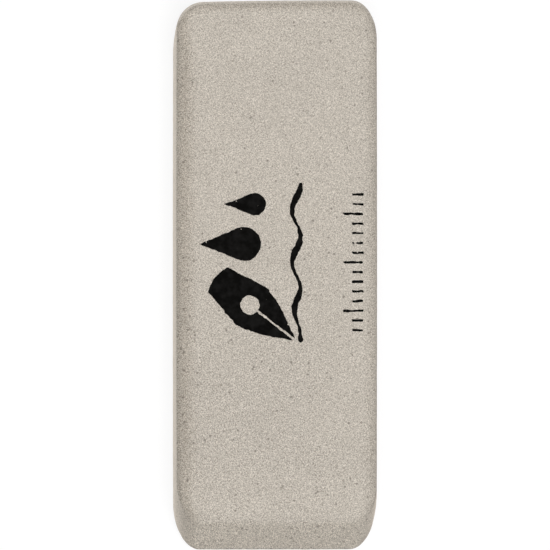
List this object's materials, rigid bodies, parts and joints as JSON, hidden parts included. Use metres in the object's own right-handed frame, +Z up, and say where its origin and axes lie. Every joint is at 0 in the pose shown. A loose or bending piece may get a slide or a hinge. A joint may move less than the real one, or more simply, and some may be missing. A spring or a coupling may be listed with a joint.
{
  "type": "ink eraser",
  "caption": "Grit-filled rubber block with rounded edges, soft corners and two end faces that lean the same way, for rubbing out ink on paper.",
  "frame": {"origin": "under the middle of the block, on the surface it lies on", "axes": "+X across the block, +Y along it towards the overhanging end, +Z up out of the printed broad face"},
  "size_m": [0.0212, 0.057, 0.009],
  "materials": {
    "eraser_rubber": "dry matt rubber, warm light grey, with a fine sandy grain of abrasive and a few dark specks",
    "printing_ink": "thin matt black stamped ink with slightly ragged edges"
  },
  "bodies": {
    "root": {"eraser_block": "eraser_rubber"}
  },
  "joints": []
}
